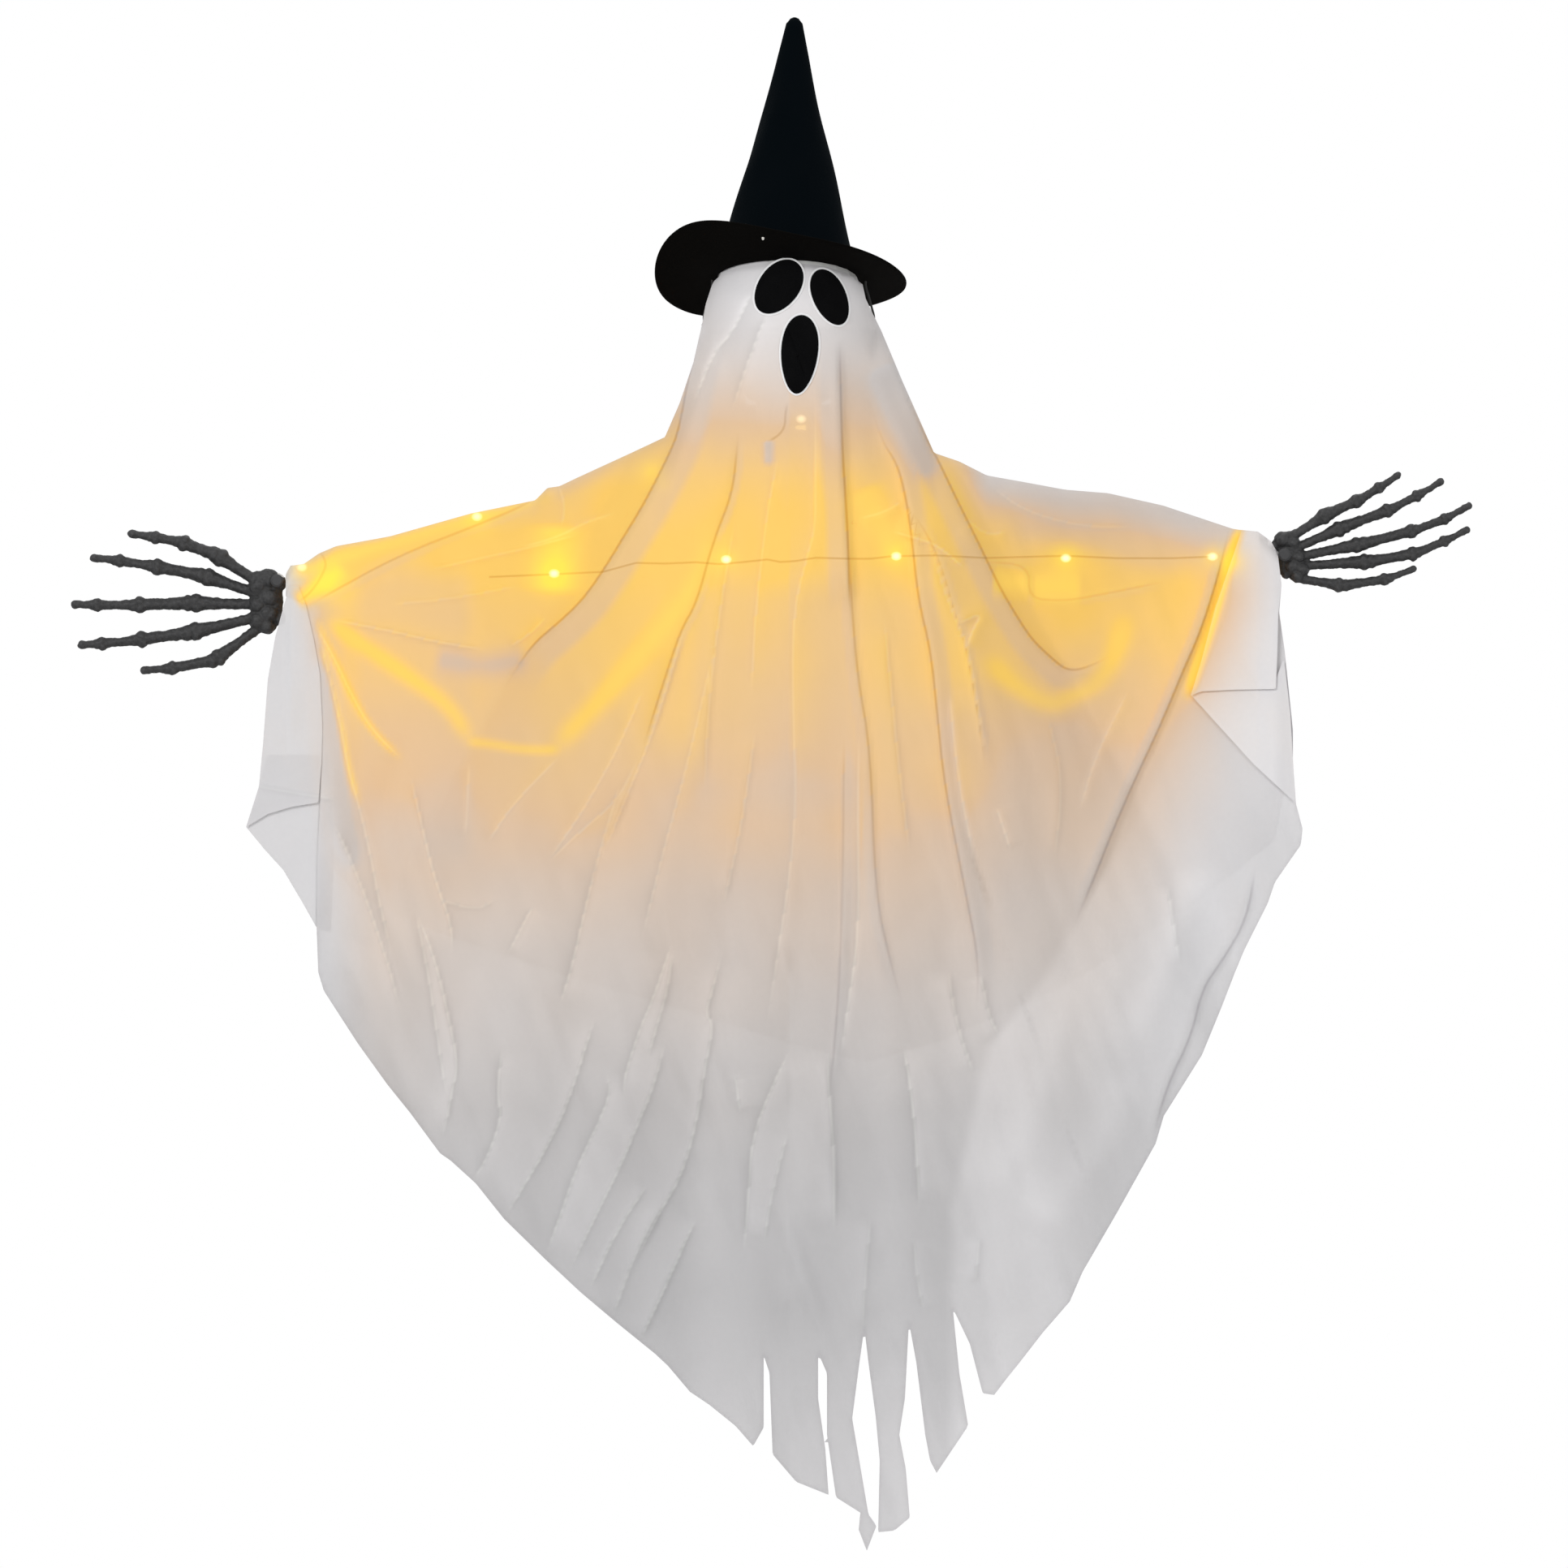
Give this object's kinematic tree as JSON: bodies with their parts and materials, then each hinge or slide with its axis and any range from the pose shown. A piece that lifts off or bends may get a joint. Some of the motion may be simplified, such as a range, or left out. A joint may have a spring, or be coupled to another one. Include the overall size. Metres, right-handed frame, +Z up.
{
  "type": "hanging ghost decoration",
  "caption": "Hanging ghost in a sheer folded robe with a felt witch hat, skeleton hands and warm lights, swinging from a ring behind its head",
  "frame": {"origin": "centre of the hanging ring behind the head, where a hook or cord holds the ghost", "axes": "+Z up, -Y the way the ghost faces, +X the right-hand side seen from the front"},
  "size_m": [1.1184, 0.2652, 1.2274],
  "materials": {
    "sheer_cloth": "sheer white polyester voile, matt",
    "black_felt": "matt black felt",
    "black_plastic": "black moulded plastic with a rubbed grey relief",
    "white_plastic": "satin white plastic",
    "steel": "drawn steel wire and rod",
    "elastic": "black covered elastic and lead",
    "warm_lamp": "clear warm-white lamp",
    "copper_wire": "thin enamelled copper wire",
    "battery_skin": "plain wrapped cell"
  },
  "bodies": {
    "hanger": {"hanging_ring": "steel"},
    "ghost": {"backbone": "steel", "cross_bar": "white_plastic", "hub_block": "white_plastic", "set_screw": "steel", "head_bracket": "black_plastic", "head_form": "white_plastic", "battery_case": "white_plastic", "battery_1": "battery_skin", "battery_2": "battery_skin", "contact_plate_left": "steel", "contact_plate_right": "steel", "battery_lead": "elastic", "wire_sleeve": "black_plastic", "light_wire_bar": "copper_wire", "light_wire_shoulder": "copper_wire", "led_01": "warm_lamp", "led_02": "warm_lamp", "led_03": "warm_lamp", "led_04": "warm_lamp", "led_05": "warm_lamp", "led_06": "warm_lamp", "led_07": "warm_lamp", "led_08": "warm_lamp", "led_09": "warm_lamp", "led_10": "warm_lamp", "led_11": "warm_lamp", "light_clip_1": "copper_wire", "light_clip_2": "copper_wire", "light_clip_3": "copper_wire", "light_clip_4": "copper_wire", "light_clip_5": "copper_wire", "light_clip_6": "copper_wire", "robe_front": "sheer_cloth", "robe_back": "sheer_cloth", "eye_left": "black_felt", "eye_right": "black_felt", "mouth": "black_felt"},
    "left_hand_body": {"left_hand": "black_plastic", "wrist_pin_left": "steel"},
    "right_hand_body": {"right_hand": "black_plastic", "wrist_pin_right": "steel"},
    "hat": {"hat_cone": "black_felt", "hat_brim": "black_felt", "hat_elastic": "elastic", "elastic_barb_left": "white_plastic", "elastic_barb_right": "white_plastic"},
    "battery_cover_body": {"battery_cover": "white_plastic"},
    "switch_body": {"switch_slider": "black_plastic"}
  },
  "joints": [
    {"name": "sway", "type": "hinge", "parent": "hanger", "child": "ghost", "pos_m": [0, 0, -0.0082], "axis": [0, 1, 0], "range_deg": [-25, 25]},
    {"name": "left_wrist", "type": "hinge", "parent": "ghost", "child": "left_hand_body", "pos_m": [-0.40837, 0, -0.19788], "axis": [0, 1, 0], "range_deg": [-35, 35]},
    {"name": "right_wrist", "type": "hinge", "parent": "ghost", "child": "right_hand_body", "pos_m": [0.39537, 0, -0.17712], "axis": [0, 1, 0], "range_deg": [-35, 35]},
    {"name": "hat_lift", "type": "slide", "parent": "ghost", "child": "hat", "axis": [0, 0, 1], "range_m": [0, 0.2]},
    {"name": "battery_cover_slide", "type": "slide", "parent": "ghost", "child": "battery_cover_body", "axis": [0, 0, 1], "range_m": [0, 0.027]},
    {"name": "switch_slide", "type": "slide", "parent": "ghost", "child": "switch_body", "axis": [1, 0, 0], "range_m": [0, 0.004]}
  ]
}
